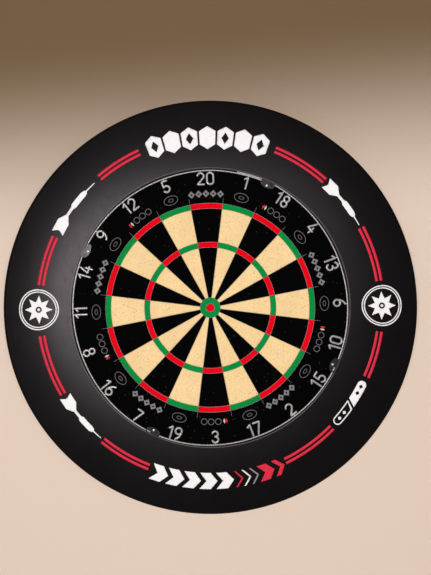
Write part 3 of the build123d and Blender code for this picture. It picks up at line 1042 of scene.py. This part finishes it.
pins_low, pins_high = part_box("clip_pins")
pin_circle = 216.8 * MM
pin_head_radius = 1.9 * MM
pin_radius = 1.2 * MM
shape = bmesh.new()
for angle in clip_angles:
    head = 0.9 * MM
    outline = []
    for step in range(7):
        turn = math.radians(90 * step / 6)
        outline.append((pin_head_radius * math.sin(turn), pins_low.y + head * (1 - math.cos(turn)) * 0.75))
    outline += [(pin_head_radius, pins_low.y + head), (pin_radius, pins_low.y + head)]
    outline += [(pin_radius, pins_high.y), (0.0, pins_high.y)]
    lathe(shape, outline, 40, clock(pin_circle, angle))
pins = mesh_object("clip_pin_heads", shape, mats["zinc_steel"], "board")
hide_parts("clip_pins")

# Hardware behind the board: the same shapes with their edges broken -------------------------------

softened("wall_bracket", "bracket_pressing", 0.5 * MM)
softened("hanging_bush", "bush_wheel", 0.4 * MM)
softened("centre_screw", "centre_screw_head", 0.2 * MM)
for index in range(1, 4):
    softened(f"leveller_housing_{index}", f"housing_{index}", 0.3 * MM)
    softened(f"leveller_wheel_{index}", f"wheel_{index}", 0.4 * MM)
    softened(f"leveller_foot_{index}", f"foot_{index}", 0.3 * MM)

# Stage --------------------------------------------------------------------------------------------

FLOOR_Z = -1.73  # the bull hangs 1.73 m above the floor


def plane(name, corners, material):
    mesh = bpy.data.meshes.new(name)
    mesh.from_pydata(corners, [], [(0, 1, 2, 3)])
    mesh.materials.append(material)
    made = bpy.data.objects.new(name, mesh)
    bpy.context.scene.collection.objects.link(made)
    return made


def wall_paint():
    """Pale matt paint on plaster, with a painted shadow that darkens it towards the top; its back is clear,
    so that the board can be seen from behind.
    """
    color = (0.75, 0.60, 0.50)
    painted_shadow = (0.175, 0.112, 0.060)
    shader = Shader("wall_paint", color, 0.9, sockets=[("Specular IOR Level", 0.1)])
    split = shader.node("ShaderNodeSeparateXYZ")
    shader.feed(split.inputs[0], shader.coords)
    # Painted shadow: the paint turns a darker tan towards the top, and its edge slants across the wall.
    shadow_height = shader.calc("MULTIPLY_ADD", split.outputs[0], -0.05, split.outputs[2])
    shader.color(shader.mix(shader.fade(shadow_height, 0.11, 0.48), color, painted_shadow))
    shader.bump(shader.noise(260.0, 3.0, 0.6), 0.08, 0.3 * MM)
    clear = shader.node("ShaderNodeBsdfTransparent")
    back = shader.node("ShaderNodeNewGeometry").outputs["Backfacing"]
    blend = shader.node("ShaderNodeMixShader")
    shader.feed(blend.inputs[0], back)
    shader.feed(blend.inputs[1], shader.surface.outputs[0])
    shader.feed(blend.inputs[2], clear.outputs[0])
    output = shader.tree.nodes["Material Output"]
    shader.feed(output.inputs["Surface"], blend.outputs[0])
    return shader.material


wall = plane(
    "wall",
    [(-3.0, 0.4 * MM, FLOOR_Z), (3.0, 0.4 * MM, FLOOR_Z), (3.0, 0.4 * MM, 1.6), (-3.0, 0.4 * MM, 1.6)],
    wall_paint(),
)
wall.visible_shadow = False
wall.visible_diffuse = False
wall.visible_glossy = False

floor_paint = Shader("floor_paint", (0.70, 0.68, 0.66), 0.8)
floor_paint.bump(floor_paint.noise(40.0, 3.0), 0.05, 0.5 * MM)
floor = plane(
    "floor",
    [(-6.0, -6.0, FLOOR_Z), (6.0, -6.0, FLOOR_Z), (6.0, 6.0, FLOOR_Z), (-6.0, 6.0, FLOOR_Z)],
    floor_paint.material,
)
floor.visible_glossy = False


def area_light(name, place, size, power, color, aim=(0.0, -0.05, 0.0)):
    data = bpy.data.lights.new(name, "AREA")
    data.shape = "RECTANGLE"
    data.size, data.size_y = size
    data.energy = power
    data.color = color
    light = bpy.data.objects.new(name, data)
    light.location = place
    light.rotation_euler = (Vector(aim) - Vector(place)).to_track_quat("-Z", "Y").to_euler()
    bpy.context.scene.collection.objects.link(light)
    return light


area_light("softbox", (-0.66, -2.2, 0.10), (0.6, 0.5), 15.0, (1.0, 0.97, 0.98))
area_light("soft_right", (0.42, -2.2, 0.45), (0.6, 0.6), 2.2, (1.0, 0.97, 0.98))
fill = area_light("fill", (0.3, -2.9, 0.2), (2.4, 2.0), 62.0, (1.0, 0.98, 0.95))
fill.visible_glossy = False
back_lights = [
    area_light("back_left", (-0.8, 2.5, 0.6), (1.0, 1.0), 40.0, (1.0, 1.0, 1.0)),
    area_light("back_right", (0.9, 2.4, -0.4), (1.0, 1.0), 26.0, (1.0, 1.0, 1.0)),
]
for light in back_lights:
    light.visible_glossy = False

world = bpy.data.worlds.new("room")
bpy.context.scene.world = world
world.use_nodes = True
world.node_tree.nodes["Background"].inputs["Color"].default_value = (1.0, 0.98, 0.96, 1.0)
world.node_tree.nodes["Background"].inputs["Strength"].default_value = 0.07
bpy.context.scene.view_settings.view_transform = "Standard"

# Camera: in front of the board, a little above the bull and right of it, held slightly off level ----

CAMERA_DISTANCE = 0.72
CAMERA_SIDE = 0.0097
CAMERA_UP = 0.0324
CAMERA_ROLL = 2.2
VIEW_HEIGHT = 0.932  # height of the view at the board's face
camera_data = bpy.data.cameras.new("camera")
camera_data.sensor_width = 36.0
camera_data.lens = camera_data.sensor_width * CAMERA_DISTANCE / VIEW_HEIGHT
camera_data.clip_start = 0.01
camera = bpy.data.objects.new("camera", camera_data)
camera.location = (CAMERA_SIDE, face_y - CAMERA_DISTANCE, CAMERA_UP)
level = Matrix.Rotation(math.radians(90), 4, "X")
roll = Matrix.Rotation(math.radians(CAMERA_ROLL), 4, "Y")
camera.rotation_euler = (roll @ level).to_euler()
bpy.context.scene.collection.objects.link(camera)
bpy.context.scene.camera = camera
